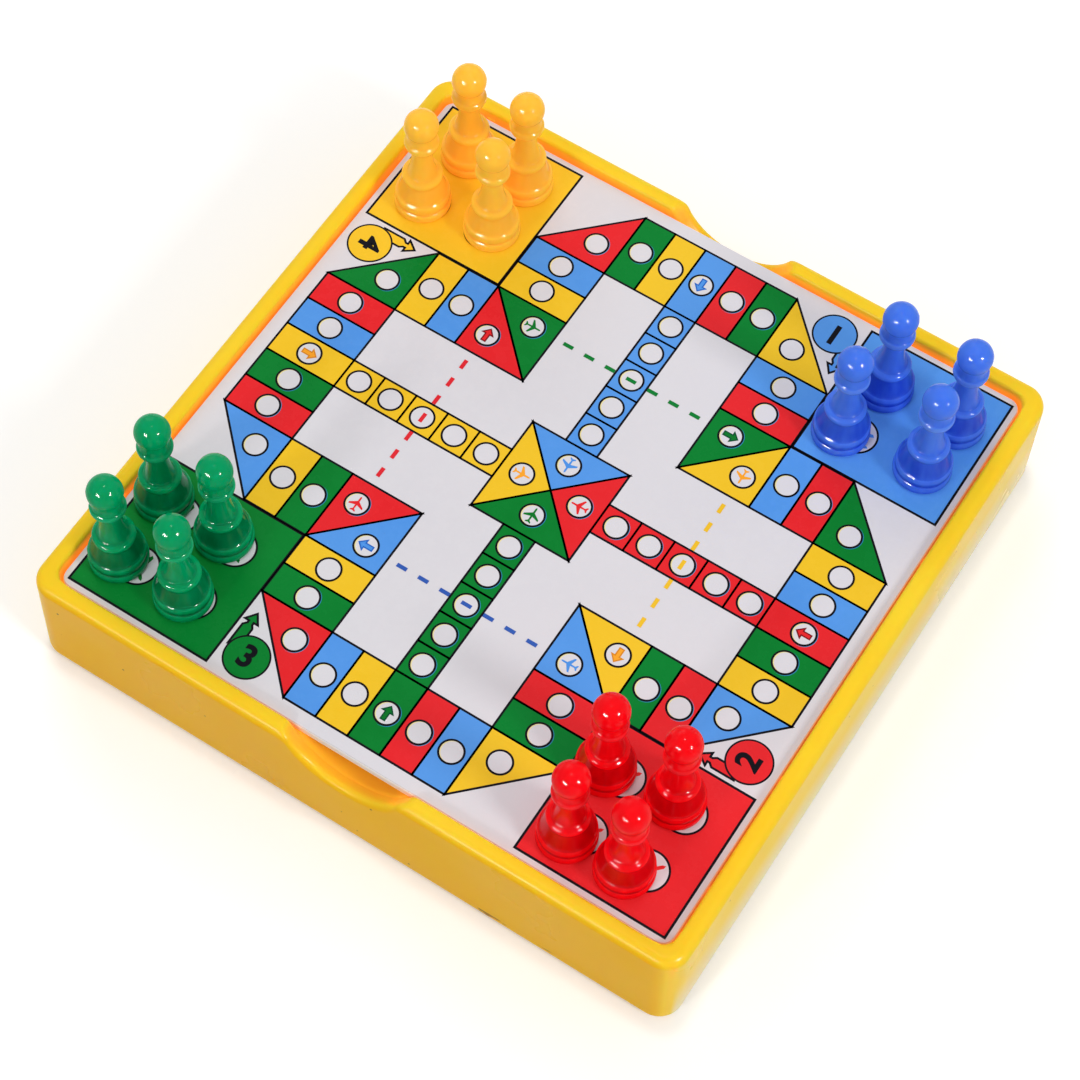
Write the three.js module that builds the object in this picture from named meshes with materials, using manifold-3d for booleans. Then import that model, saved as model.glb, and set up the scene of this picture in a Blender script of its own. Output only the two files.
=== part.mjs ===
// Boxed ludo game: a moulded tray, a playing board that lifts out as its lid,
// pawns standing in the four home squares and a die kept under the board.
// Millimetres, +Z up, origin at the centre of the tray's underside.
// +X runs from the green corner to the red one, +Y from the green corner to the yellow one.

import * as THREE from 'three';
import { mergeVertices } from 'three/addons/utils/BufferGeometryUtils.js';
import { RoundedBoxGeometry } from 'three/addons/geometries/RoundedBoxGeometry.js';
import Module from 'manifold-3d';

const wasm = await Module();
wasm.setup();

// Playing board
const cellPitch = 6.3;              // one square of the track
const patternHalfShare = 9.27;      // half the printed pattern, in squares
const patternBorder = 1.1;          // plate outside the pattern
const plateThickness = 1.7;
const plateCornerRadius = 2.2;
const sheetThickness = 0.3;
const sheetInset = 0.15;            // the sheet stops just inside the plate's edge

// Tray
const trayHeight = 24;
const wallThickness = 3.3;          // at the rim
const wallFlare = 0.35;             // how much wider the foot is than the rim, on each side
const rimAboveBoard = 1.7;
const rimOuterRound = 1.8;
const rimInnerRound = 0.6;
const footRound = 2;
const outerCornerRadius = 4.4;
const floorThickness = 2;
const floorFillet = 1.5;
const plateGap = 0.5;               // all round between plate and tray

// Finger notches in the middle of the front and back walls
const notchDepth = 7.1;             // below the rim
const notchArcRadius = 11.8;
const notchEndRound = 1.5;          // where the arc runs out into the rim
const notchLipRound = 1.5;          // along the outer edge of the cut
const notchInnerDrop = 1.3;         // how much lower the cut is at the inner edge
const notchBackReach = 3.4;         // the wall is thicker behind the cut, below the board
const notchBackHalf = 13;

// Posts that carry the plate, and nubs that keep it from rattling
const postThickness = 1.6;
const postReach = 3;                // how far a post stands out from its wall
const postPlaceShares = [-0.78, -0.4, 0.4, 0.78];   // of the recess's half width
const cornerPadReach = 5;
const nubLength = 1.8;
const nubReach = 0.2;
const nubHeight = 0.8;
const frontNubShares = [-0.85, 0.85];               // of the recess's half width
const sideNubShares = [-0.68, 0.73];

// Die and the low nest round it
const dieSize = 10;
const dieRound = 1.3;
const pipRadius = 0.95;
const pipDepth = 0.5;
const pipSpacingShare = 0.26;       // of the die's size
const nestGap = 0.3;
const nestWall = 1.2;
const nestHeight = 3;
const nestPlaceShares = [0.8, 0];   // X and Y, of the recess's half width

// Pawn
const pawnBaseRadius = 5.15;
const pawnFlangeRadius = 3.7;
const pawnNeckRadius = 2.6;
const pawnCollarRadius = 3.1;
const pawnHeadRadius = 3.1;
const pawnHeadHeight = 22.4;        // from the foot to the centre of the head
const pawnDishDepth = 0.5;          // hollow under the foot

// A pawn's outline upward from its foot: the radius as a share of the radius that the stretch is
// named after, and the height as a share of the head's height.
const dishRadiusShare = 0.8;
const baseOutlineShares = [
  [0.94, 0], [1, 0.04], [1, 0.075], [0.92, 0.1], [0.965, 0.125], [0.965, 0.175],
  [0.87, 0.195], [0.8, 0.27], [0.64, 0.355],
];
const flangeOutlineShares = [[1, 0.375], [1, 0.4], [0.72, 0.422]];
const neckOutlineShares = [[1, 0.425], [0.76, 0.52], [0.66, 0.7]];
const collarOutlineShares = [[1, 0.775], [1, 0.81], [0.72, 0.84]];
const headBeadShares = [0.78, 0.87];
const headSeatShare = 0.72;         // radius where the head leaves its bead

// Where each colour's pawns stand, in from the plate's two nearest edges: base radii and then
// squares of the track, first along X and then along Y.
const pawnColours = ['blue', 'yellow', 'green', 'red'];
const pawnPlaceShares = [
  [[3, 1.01, 1, 0.86], [1, 0.43, 1, 0.8], [3, 1.34, 3, 1.1], [1, 0.53, 3, 0.89]],
  [[1, 0.75, 1, 0.61], [3, 0.99, 1, 0.55], [1, 0.5, 3, 0.99], [3, 1.04, 3, 0.74]],
  [[1, 0.14, 1, 0.61], [1, 0.1, 3, 1.07], [3, 0.49, 3, 0.99], [3, 0.61, 1, 0.61]],
  [[3, 1.41, 3, 0.82], [3, 1.27, 1, 0.38], [1, 1.08, 3, 1.03], [1, 1.18, 1, 0.37]],
];

// The corners of a square, anticlockwise from the one between +X and +Y, as the colours lie
const cornerShares = [[1, 1], [-1, 1], [-1, -1], [1, -1]];

// How finely round shapes are cut
const cornerSteps = 5;
const roundSteps = 3;
const notchSteps = 10;
const pawnSides = 12;
const headSteps = 5;
const dieSteps = 2;
const pipSides = 6;
const pipRings = 4;

// Sizes worked out from the ones above
const plateHalf = cellPitch * patternHalfShare + patternBorder;
const recessHalf = plateHalf + plateGap;
const recessCornerRadius = plateCornerRadius + plateGap;
const rimHalf = recessHalf + wallThickness;
const footHalf = rimHalf + wallFlare;
const sheetTop = trayHeight - rimAboveBoard;
const plateTop = sheetTop - sheetThickness;
const plateBottom = plateTop - plateThickness;
const cutOverrun = wallThickness;   // how far a cutting shape runs past what it cuts
const wallRoot = wallThickness / 2; // how far an added rib starts inside its wall
const floorRoot = floorThickness / 2;
const dieCentre = nestPlaceShares.map((share) => share * recessHalf);

// Helpers

function solid(geometry) {
  const bare = geometry.clone();
  for (const name of Object.keys(bare.attributes)) {
    if (name !== 'position') bare.deleteAttribute(name);
  }
  const merged = mergeVertices(bare);
  return new wasm.Manifold(new wasm.Mesh({
    numProp: 3,
    vertProperties: new Float32Array(merged.attributes.position.array),
    triVerts: new Uint32Array(merged.index.array),
  }));
}

function geometryOf(manifold) {
  const mesh = manifold.getMesh();
  const geometry = new THREE.BufferGeometry();
  geometry.setAttribute('position', new THREE.BufferAttribute(new Float32Array(mesh.vertProperties), 3));
  geometry.setIndex(new THREE.BufferAttribute(new Uint32Array(mesh.triVerts), 1));
  geometry.computeVertexNormals();
  return geometry;
}

// A closed solid through rings of equally many points, each anticlockwise seen from the last ring.
// The first point of a ring sees all the others.
function loft(rings) {
  const count = rings[0].length;
  const last = (rings.length - 1) * count;
  const faces = [];
  for (let start = 0; start < last; start += count) {
    for (let k = 0; k < count; k++) {
      const a = start + k;
      const b = start + (k + 1) % count;
      faces.push(a, b, b + count, a, b + count, a + count);
    }
  }
  for (let k = 1; k + 1 < count; k++) {
    faces.push(0, k + 1, k);
    faces.push(last, last + k, last + k + 1);
  }
  const geometry = new THREE.BufferGeometry();
  geometry.setAttribute('position', new THREE.Float32BufferAttribute(rings.flat(2), 3));
  geometry.setIndex(faces);
  return geometry;
}

// A level ring round a square with rounded corners.
function squareRing(half, cornerRadius, z) {
  const points = [];
  cornerShares.forEach(([shareX, shareY], corner) => {
    const x = shareX * (half - cornerRadius);
    const y = shareY * (half - cornerRadius);
    for (let step = 0; step <= cornerSteps; step++) {
      const angle = (corner + step / cornerSteps) * Math.PI / 2;
      points.push([x + cornerRadius * Math.cos(angle), y + cornerRadius * Math.sin(angle), z]);
    }
  });
  return points;
}

// A box standing on height z.
function block(width, depth, height, x, y, z) {
  return new THREE.BoxGeometry(width, depth, height).translate(x, y, z + height / 2);
}

// Tray

function quarterTurn() {
  return Array.from({ length: roundSteps + 1 }, (_, step) => step / roundSteps * Math.PI / 2);
}

function trayOuterRings() {
  const foot = quarterTurn().map((angle) => {
    const inset = footRound * (1 - Math.sin(angle));
    const z = footRound * (1 - Math.cos(angle));
    return squareRing(footHalf - inset, outerCornerRadius - inset, z);
  });
  const rim = quarterTurn().map((angle) => {
    const inset = rimOuterRound * (1 - Math.cos(angle));
    const z = trayHeight - rimOuterRound * (1 - Math.sin(angle));
    return squareRing(rimHalf - inset, outerCornerRadius - inset, z);
  });
  return [...foot, ...rim];
}

function trayCavityRings() {
  const floor = quarterTurn().map((angle) => {
    const inset = floorFillet * (1 - Math.sin(angle));
    const z = floorThickness + floorFillet * (1 - Math.cos(angle));
    return squareRing(recessHalf - inset, recessCornerRadius - inset, z);
  });
  const mouth = quarterTurn().map((angle) => {
    const flare = rimInnerRound * (1 - Math.cos(angle));
    const z = trayHeight - rimInnerRound * (1 - Math.sin(angle));
    return squareRing(recessHalf + flare, recessCornerRadius + flare, z);
  });
  const above = squareRing(recessHalf + rimInnerRound, recessCornerRadius + rimInnerRound, trayHeight + cutOverrun);
  return [...floor, ...mouth, above];
}

// The notch seen from the front: one arc that runs out into the rim over a rounded end on each
// side. Growth moves the whole cut outward into the wall.
function notchOutline(growth) {
  const radius = notchArcRadius + growth;
  const arcHeight = trayHeight - notchDepth + notchArcRadius;
  const endHeight = trayHeight - notchEndRound;
  const endX = Math.sqrt((radius + notchEndRound) ** 2 - (arcHeight - endHeight) ** 2);
  const meeting = Math.asin(endX / (radius + notchEndRound));
  const right = [];
  for (let step = 0; step <= roundSteps; step++) {
    const angle = meeting * (1 - step / roundSteps);
    right.push([endX - notchEndRound * Math.sin(angle), endHeight + notchEndRound * Math.cos(angle)]);
  }
  const left = right.map(([x, z]) => [-x, z]).reverse();
  const arc = [];
  for (let step = 1; step < notchSteps; step++) {
    const angle = meeting * (2 * step / notchSteps - 1);
    arc.push([radius * Math.sin(angle), arcHeight - radius * Math.cos(angle)]);
  }
  const top = trayHeight + cutOverrun;
  return [[0, top], [-endX, top], ...left, ...arc, ...right, [endX, top]];
}

// The cutting shape of the front notch, from inside the tray outward.
function notchTool() {
  const section = (inward, growth) => notchOutline(growth).map(([x, z]) => [x, inward - rimHalf, z]);
  const lip = quarterTurn().map((angle) => {
    const inward = notchLipRound * (1 - Math.sin(angle));
    return section(inward, notchLipRound * (1 - Math.cos(angle)));
  });
  const back = section(wallThickness + notchBackReach + cutOverrun, notchInnerDrop);
  const inner = section(wallThickness, notchInnerDrop);
  const outer = section(-wallFlare - cutOverrun, notchLipRound);
  return loft([back, inner, ...lip, outer]);
}

function supportBlocks() {
  const base = floorThickness - floorRoot;
  const height = plateBottom - base;
  const postDepth = postReach + wallRoot;
  const postMiddle = recessHalf + (wallRoot - postReach) / 2;
  const padWidth = cornerPadReach + wallRoot;
  const padMiddle = recessHalf + (wallRoot - cornerPadReach) / 2;
  const backDepth = notchBackReach + wallRoot;
  const backMiddle = recessHalf + (wallRoot - notchBackReach) / 2;
  const blocks = [];
  for (const side of [-1, 1]) {
    for (const share of postPlaceShares) {
      const along = share * recessHalf;
      blocks.push(block(postThickness, postDepth, height, along, side * postMiddle, base));
      blocks.push(block(postDepth, postThickness, height, side * postMiddle, along, base));
    }
    blocks.push(block(2 * notchBackHalf, backDepth, height, 0, side * backMiddle, base));
    for (const otherSide of [-1, 1]) {
      blocks.push(block(padWidth, padWidth, height, side * padMiddle, otherSide * padMiddle, base));
    }
  }
  return blocks;
}

function nubBlocks() {
  const depth = wallRoot + nubReach;
  const middle = recessHalf + (wallRoot - nubReach) / 2;
  const base = plateTop - nubHeight;
  const blocks = [];
  for (const side of [-1, 1]) {
    for (const share of frontNubShares) {
      blocks.push(block(nubLength, depth, nubHeight, share * recessHalf, side * middle, base));
    }
    for (const share of sideNubShares) {
      blocks.push(block(depth, nubLength, nubHeight, side * middle, share * recessHalf, base));
    }
  }
  return blocks;
}

function nestSolid() {
  const inner = dieSize + 2 * nestGap;
  const outer = inner + 2 * nestWall;
  const base = floorThickness - floorRoot;
  const wall = solid(block(outer, outer, nestHeight + floorRoot, ...dieCentre, base));
  return wall.subtract(solid(block(inner, inner, nestHeight + cutOverrun, ...dieCentre, base)));
}

function makeTray() {
  let body = solid(loft(trayOuterRings())).subtract(solid(loft(trayCavityRings())));
  for (const added of [...supportBlocks(), ...nubBlocks()]) body = body.add(solid(added));
  const notch = solid(notchTool());
  return body.add(nestSolid()).subtract(notch).subtract(notch.rotate([0, 0, 180]));
}

// Board

function makePlate() {
  return loft([
    squareRing(plateHalf, plateCornerRadius, plateBottom),
    squareRing(plateHalf, plateCornerRadius, plateTop),
  ]);
}

function makeSheet() {
  const half = plateHalf - sheetInset;
  const cornerRadius = plateCornerRadius - sheetInset;
  return loft([squareRing(half, cornerRadius, plateTop), squareRing(half, cornerRadius, sheetTop)]);
}

// Pawn, turned about its own axis with its foot at Z = 0

function pawnOutline() {
  const stretch = (shares, radius) => shares.map(([across, up]) => [across * radius, up * pawnHeadHeight]);
  const points = [
    [0, pawnDishDepth],
    [dishRadiusShare * pawnBaseRadius, 0],
    ...stretch(baseOutlineShares, pawnBaseRadius),
    ...stretch(flangeOutlineShares, pawnFlangeRadius),
    ...stretch(neckOutlineShares, pawnNeckRadius),
    ...stretch(collarOutlineShares, pawnCollarRadius),
    ...stretch([headBeadShares], pawnHeadRadius),
  ];
  const lowest = -Math.acos(headSeatShare);
  for (let step = 0; step < headSteps; step++) {
    const angle = lowest + (Math.PI / 2 - lowest) * step / headSteps;
    points.push([pawnHeadRadius * Math.cos(angle), pawnHeadHeight + pawnHeadRadius * Math.sin(angle)]);
  }
  points.push([0, pawnHeadHeight + pawnHeadRadius]);
  return points.map(([radius, z]) => new THREE.Vector2(radius, z));
}

function makePawn() {
  return new THREE.LatheGeometry(pawnOutline(), pawnSides).rotateX(Math.PI / 2);
}

// Die, with opposite faces adding up to seven

function pipPlaces(count) {
  const places = count % 2 ? [[0, 0]] : [];
  if (count > 1) places.push([-1, -1], [1, 1]);
  if (count > 3) places.push([-1, 1], [1, -1]);
  if (count > 5) places.push([0, -1], [0, 1]);
  return places;
}

function makeDie() {
  let body = solid(new RoundedBoxGeometry(dieSize, dieSize, dieSize, dieSteps, dieRound));
  const quarter = Math.PI / 2;
  const faceTurns = {
    1: [0, 0, 0],
    2: [quarter, 0, 0],
    3: [0, quarter, 0],
    4: [0, -quarter, 0],
    5: [-quarter, 0, 0],
    6: [2 * quarter, 0, 0],
  };
  const spacing = pipSpacingShare * dieSize;
  for (const [pips, turn] of Object.entries(faceTurns)) {
    const faceTurn = new THREE.Matrix4().makeRotationFromEuler(new THREE.Euler(...turn));
    for (const [column, row] of pipPlaces(Number(pips))) {
      const pip = new THREE.SphereGeometry(pipRadius, pipSides, pipRings);
      pip.translate(column * spacing, row * spacing, dieSize / 2 + pipRadius - pipDepth);
      body = body.subtract(solid(pip.applyMatrix4(faceTurn)));
    }
  }
  return body;
}

// Finishes

function plastic(color, roughness) {
  return new THREE.MeshStandardMaterial({ color, roughness, metalness: 0 });
}

const trayFinish = plastic(0xf6be2c, 0.4);
const plateFinish = plastic(0xe4e2e6, 0.5);
const sheetFinish = plastic(0xdedce2, 0.6);
const dieFinish = plastic(0xf2efe6, 0.3);
const pawnFinishes = {
  green: plastic(0x0a8a58, 0.2),
  red: plastic(0xe00a14, 0.2),
  blue: plastic(0x3c68e0, 0.2),
  yellow: plastic(0xffaa32, 0.2),
};

// Assembly

const game = new THREE.Group();

function place(name, geometry, finish, x = 0, y = 0, z = 0) {
  const mesh = new THREE.Mesh(geometry, finish);
  mesh.name = name;
  mesh.position.set(x, y, z);
  game.add(mesh);
}

place('tray', geometryOf(makeTray()), trayFinish);
place('board_plate', makePlate(), plateFinish);
place('printed_sheet', makeSheet(), sheetFinish);
place('die', geometryOf(makeDie()), dieFinish, ...dieCentre, floorThickness + dieSize / 2);

pawnColours.forEach((colour, corner) => {
  const [shareX, shareY] = cornerShares[corner];
  pawnPlaceShares[corner].forEach(([radiiX, cellsX, radiiY, cellsY], index) => {
    const x = shareX * (plateHalf - radiiX * pawnBaseRadius - cellsX * cellPitch);
    const y = shareY * (plateHalf - radiiY * pawnBaseRadius - cellsY * cellPitch);
    place(`pawn_${colour}_${index + 1}`, makePawn(), pawnFinishes[colour], x, y, sheetTop);
  });
});

export default game;
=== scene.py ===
# %% [markdown]
# # A boxed ludo board game
# The game is a shallow yellow tray with a white printed board lying in its mouth. Sixteen see-through
# plastic pawns stand in the four corner squares of the board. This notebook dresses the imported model:
# it loads the frame, sets the camera, and then makes each piece by hand with Blender's own operators.

# %% Load the frame
import math
import bmesh
import bpy
from mathutils import Matrix, Vector


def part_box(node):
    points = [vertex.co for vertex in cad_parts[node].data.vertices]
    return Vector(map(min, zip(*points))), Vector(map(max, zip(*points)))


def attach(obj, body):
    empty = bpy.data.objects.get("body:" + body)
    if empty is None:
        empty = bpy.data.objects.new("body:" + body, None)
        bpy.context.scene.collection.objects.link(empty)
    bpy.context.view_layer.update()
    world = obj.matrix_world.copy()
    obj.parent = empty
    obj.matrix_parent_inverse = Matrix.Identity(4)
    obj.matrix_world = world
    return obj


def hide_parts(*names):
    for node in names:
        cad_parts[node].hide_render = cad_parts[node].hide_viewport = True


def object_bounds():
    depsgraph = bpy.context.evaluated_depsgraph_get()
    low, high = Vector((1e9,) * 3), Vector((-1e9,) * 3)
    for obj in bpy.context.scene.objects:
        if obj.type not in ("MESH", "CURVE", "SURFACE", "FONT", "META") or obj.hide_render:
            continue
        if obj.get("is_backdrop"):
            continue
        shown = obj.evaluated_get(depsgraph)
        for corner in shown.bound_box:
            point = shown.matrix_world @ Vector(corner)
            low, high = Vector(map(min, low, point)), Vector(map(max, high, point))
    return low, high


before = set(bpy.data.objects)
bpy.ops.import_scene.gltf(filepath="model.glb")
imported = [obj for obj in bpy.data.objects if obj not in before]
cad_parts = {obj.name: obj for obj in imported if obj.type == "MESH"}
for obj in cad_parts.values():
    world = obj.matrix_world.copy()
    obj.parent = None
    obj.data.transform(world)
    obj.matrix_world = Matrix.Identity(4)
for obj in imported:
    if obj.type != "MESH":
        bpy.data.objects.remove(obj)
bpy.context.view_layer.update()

# %% [markdown]
# ## Units and places
# Blender works in metres and the object was measured in millimetres, so every size is written in
# millimetres and turned once. The print was measured in squares of the track, which are 6.3 mm.

# %% Units and main sizes
MM = 0.001
SQUARE = 6.3 * MM

sheet_low, sheet_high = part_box("printed_sheet")
plate_low, plate_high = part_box("board_plate")
board_top = sheet_high.z

rim_half = 63.301 * MM
foot_half = 63.651 * MM
recess_half = 60.001 * MM
tray_height = 24.0 * MM
floor_thickness = 2.0 * MM
print("board top at", round(board_top / MM, 3), "mm")


# %% [markdown]
# ## Helpers for working by hand
# An operator works on everything that is selected. So each step first says what it works on: one
# object, and then the corners, edges or faces of it that answer to a test of place or direction.

# %% Selecting
def select_nothing():
    bpy.ops.object.select_all(action="DESELECT")


def work_on(piece):
    """Leaves edit mode and makes this the only selected object."""
    if bpy.context.object and bpy.context.object.mode != "OBJECT":
        bpy.ops.object.mode_set(mode="OBJECT")
    select_nothing()
    piece.select_set(True)
    bpy.context.view_layer.objects.active = piece
    return piece


def open_mesh(piece):
    work_on(piece)
    bpy.ops.object.mode_set(mode="EDIT")


def close_mesh():
    bpy.ops.object.mode_set(mode="OBJECT")


def pick(kind, test):
    """In edit mode, selects the VERT, EDGE or FACE parts for which the test is true."""
    bpy.ops.mesh.select_mode(type=kind)
    bpy.ops.mesh.select_all(action="DESELECT")
    mesh = bpy.context.object.data
    form = bmesh.from_edit_mesh(mesh)
    form.normal_update()
    parts = {"VERT": form.verts, "EDGE": form.edges, "FACE": form.faces}[kind]
    count = 0
    for part in parts:
        if test(part):
            part.select_set(True)
            count += 1
    form.select_flush_mode()
    bmesh.update_edit_mesh(mesh)
    return count


def face_outward():
    """Turns every face of the open mesh outward."""
    bpy.ops.mesh.select_all(action="SELECT")
    bpy.ops.mesh.normals_make_consistent(inside=False)


def middle(edge):
    return (edge.verts[0].co + edge.verts[1].co) / 2


def upright(edge):
    run = edge.verts[0].co - edge.verts[1].co
    return abs(run.z) > 0.9 * run.length


def raise_faces(distance):
    bpy.ops.mesh.extrude_region_move(TRANSFORM_OT_translate={"value": (0, 0, distance)})


def round_edges(radius, steps):
    bpy.ops.mesh.bevel(offset=radius, segments=steps, profile=0.5, clamp_overlap=False)


def new_block(name, size, place):
    """A cube at its size and place, to be shaped further."""
    select_nothing()
    bpy.ops.mesh.primitive_cube_add(size=1, location=place, scale=size)
    bpy.ops.object.transform_apply(location=True, rotation=True, scale=True)
    block = bpy.context.object
    block.name = name
    block.data.name = name
    return block


def join_into(piece, others):
    work_on(piece)
    for other in others:
        other.select_set(True)
    bpy.ops.object.join()
    return piece


def even_shading(piece, degrees=38):
    """Smooth faces with crisp corners, and flat faces that stay flat beside their rounded edges."""
    work_on(piece)
    bpy.ops.object.shade_smooth_by_angle(angle=math.radians(degrees))
    weighted = piece.modifiers.new("weighted", "WEIGHTED_NORMAL")
    weighted.keep_sharp = True
    bpy.ops.object.modifier_apply(modifier=weighted.name)


# %% [markdown]
# ## The camera
# The photograph was taken from well above the front edge, turned to the right. Its lens and place
# were worked out from the printed circles, whose places on the board are known.

# %% Camera
lens_data = bpy.data.cameras.new("photo_camera")
photo_camera = bpy.data.objects.new("photo_camera", lens_data)
bpy.context.scene.collection.objects.link(photo_camera)
lens_data.lens = 95.546
lens_data.sensor_width = 36
photo_camera.location = Vector((118.0859, -207.6654, 447.8171)) * MM
photo_camera.rotation_euler = [math.radians(turn) for turn in (28.27461508, -1.38187669, 32.51865378)]
bpy.context.scene.camera = photo_camera
print("camera", round(photo_camera.location.length / MM), "mm from the board's middle")

# %% [markdown]
# ## Floor, world and lamps
# The highlights on the pawns' round heads show three softboxes: one straight above, one in front and a
# larger one on the right. A weak wide one on the left reaches the far rims. Their light and the pale
# world add up to about one, so that a colour comes out as it is written. Three more, the gleams, only
# show in glossy skins: they draw the crisp highlights without lighting anything. The floor is white
# and keeps the game's shadow. Where it is seen it is lifted a little, and more further out, where the
# lamps' light runs thin.

# %% Floor
select_nothing()
bpy.ops.mesh.primitive_plane_add(size=8, location=(0, 0, 0))
studio_floor = bpy.context.object
studio_floor.name = "studio_floor"
studio_floor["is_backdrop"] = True


def new_material(name):
    """An empty material with its shader, and the tree to hang more nodes on."""
    material = bpy.data.materials.new(name)
    material.use_nodes = True
    tree = material.node_tree
    shader = tree.nodes["Principled BSDF"]
    return material, tree, shader


def hang(tree, kind, **settings):
    node = tree.nodes.new(kind)
    for name, value in settings.items():
        setattr(node, name, value)
    return node


def set_values(node, values):
    """Sets plain values on a node's own sockets."""
    for socket, value in values.items():
        node.inputs[socket].default_value = value


def feed(node, socket, source):
    """Leads what a socket gives into a socket of this node."""
    node.id_data.links.new(source, node.inputs[socket])


def combine(operation, first, second):
    """A Math node between two values."""
    math_node = hang(first.id_data, "ShaderNodeMath", operation=operation)
    feed(math_node, 0, first)
    feed(math_node, 1, second)
    return math_node.outputs[0]


def spread(source, low, high, to_low, to_high):
    """Stretches values between low and high to a new range."""
    ranged = hang(source.id_data, "ShaderNodeMapRange")
    set_values(ranged, {"From Min": low, "From Max": high, "To Min": to_low, "To Max": to_high})
    feed(ranged, "Value", source)
    return ranged.outputs["Result"]


def blend_colours(share, first, second):
    """Mixes two colours, each a fixed colour or a socket, by a share."""
    mix = hang(share.id_data, "ShaderNodeMix", data_type="RGBA")
    feed(mix, "Factor", share)
    for socket, colour in (("A", first), ("B", second)):
        if isinstance(colour, tuple):
            mix.inputs[socket].default_value = colour
        else:
            feed(mix, socket, colour)
    return mix.outputs["Result"]


def object_place(tree):
    return (tree.nodes.get("place") or hang(tree, "ShaderNodeTexCoord", name="place")).outputs["Object"]


def seen_directly(tree):
    """One where the eye, a reflection or a clear piece looks, and nought for the light that bounces."""
    path = hang(tree, "ShaderNodeLightPath").outputs
    either = combine("MAXIMUM", path["Is Camera Ray"], path["Is Glossy Ray"])
    return combine("MAXIMUM", either, path["Is Transmission Ray"])


floor_paint, tree, shader = new_material("floor_paint")
floor_seen = seen_directly(tree)
bounced = (0.55, 0.55, 0.55, 1)
white = (1, 1, 1, 1)
feed(shader, "Base Color", blend_colours(floor_seen, bounced, white))
floor_reach = hang(tree, "ShaderNodeVectorMath", operation="LENGTH")
feed(floor_reach, 0, object_place(tree))
floor_lift = spread(floor_reach.outputs["Value"], 100 * MM, 400 * MM, 0.13, 0.8)
feed(shader, "Emission Strength", combine("MULTIPLY", floor_seen, floor_lift))
set_values(shader, {"Emission Color": white, "Roughness": 0.9, "Specular IOR Level": 0.0})
studio_floor.data.materials.append(floor_paint)

# %% World and lamps
world = bpy.data.worlds.new("studio_air")
bpy.context.scene.world = world
world.use_nodes = True
sky_tree = world.node_tree
sky = sky_tree.nodes["Background"]
sky.inputs["Color"].default_value = white
world_light = 0.5
feed(sky, "Strength", spread(seen_directly(sky_tree), 0, 1, world_light, 1))


def softbox(name, direction, distance, width, height, brightness):
    """A lamp that faces the board; brightness is how many times white its face is."""
    lamp_data = bpy.data.lights.new(name, "AREA")
    lamp_data.shape = "RECTANGLE"
    lamp_data.size = width
    lamp_data.size_y = height
    lamp_data.energy = brightness * math.pi * width * height
    lamp = bpy.data.objects.new(name, lamp_data)
    bpy.context.scene.collection.objects.link(lamp)
    toward = Vector(direction).normalized()
    lamp.location = toward * distance
    lamp.rotation_euler = toward.to_track_quat("Z", "Y").to_euler()
    reach = width * height / distance ** 2 * toward.z * brightness / math.pi
    print(name, "gives the board", round(reach, 2), "of full light")
    return lamp


from_front = (-0.16, -0.85, 0.49)
from_right = (0.80, -0.14, 0.58)
softbox("overhead_softbox", (-0.06, 0.05, 0.997), 1.3, 0.12, 0.12, 52)
softbox("front_softbox", from_front, 1.2, 0.13, 0.13, 40)
softbox("right_softbox", from_right, 1.2, 0.24, 0.24, 24)
softbox("left_fill", (-0.6, 0.55, 0.58), 1.2, 0.7, 0.7, 1.9)
right_gleam = softbox("right_gleam", from_right, 1.1, 0.16, 0.22, 270)
rim_gleam = softbox("rim_gleam", from_front, 1.1, 0.55, 0.07, 170)
pawn_gleam = softbox("pawn_gleam", from_front, 1.1, 0.5, 0.2, 200)
for gleam in (right_gleam, rim_gleam, pawn_gleam):
    gleam.visible_diffuse = False
bpy.context.scene.view_settings.view_transform = "Standard"


# %% [markdown]
# ## The tray's plastic
# The tray is injection moulded in one yellow plastic. Light goes a little way into it, so the inner
# walls above the board glow orange, most of all down in the gap. That glow is painted by place: a
# deeper orange colour and a faint orange emission low on the inner walls, a painted glow and shade.
# The front wall is painted a darker yellow, a painted shade, and the foot of the right wall a paler
# one, a painted reflection of the white floor. The skin is glossy with a faint unevenness, and carries
# a few specks of dirt. Noise nodes on Object coordinates give these at real scale, in metres.

# %% Tray plastic
def srgb(red, green, blue):
    """A colour read off a picture, 0 to 255, as the light values that a shader takes."""
    values = []
    for level in (red, green, blue):
        share = level / 255
        values.append(share / 12.92 if share <= 0.04045 else ((share + 0.055) / 1.055) ** 2.4)
    return (*values, 1.0)


def object_noise(tree, scale, detail=3.0, roughness=0.5, stretch=None):
    """Noise on Object coordinates, in bumps a metre, drawn out along an axis with a small stretch."""
    place = object_place(tree)
    if stretch:
        mapping = hang(tree, "ShaderNodeMapping")
        mapping.inputs["Scale"].default_value = stretch
        feed(mapping, "Vector", place)
        place = mapping.outputs["Vector"]
    noise = hang(tree, "ShaderNodeTexNoise")
    set_values(noise, {"Scale": scale, "Detail": detail, "Roughness": roughness})
    feed(noise, "Vector", place)
    return noise.outputs["Fac"]


def uneven_skin(shader, scale, depth, strength):
    """A fine bump, its depth in millimetres."""
    tree = shader.id_data
    bump = hang(tree, "ShaderNodeBump")
    set_values(bump, {"Distance": depth * MM, "Strength": strength})
    feed(bump, "Height", object_noise(tree, scale))
    feed(shader, "Normal", bump.outputs["Normal"])


def object_axes(tree):
    axes = tree.nodes.get("axes")
    if not axes:
        axes = hang(tree, "ShaderNodeSeparateXYZ", name="axes")
        feed(axes, 0, object_place(tree))
    return axes.outputs


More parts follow.
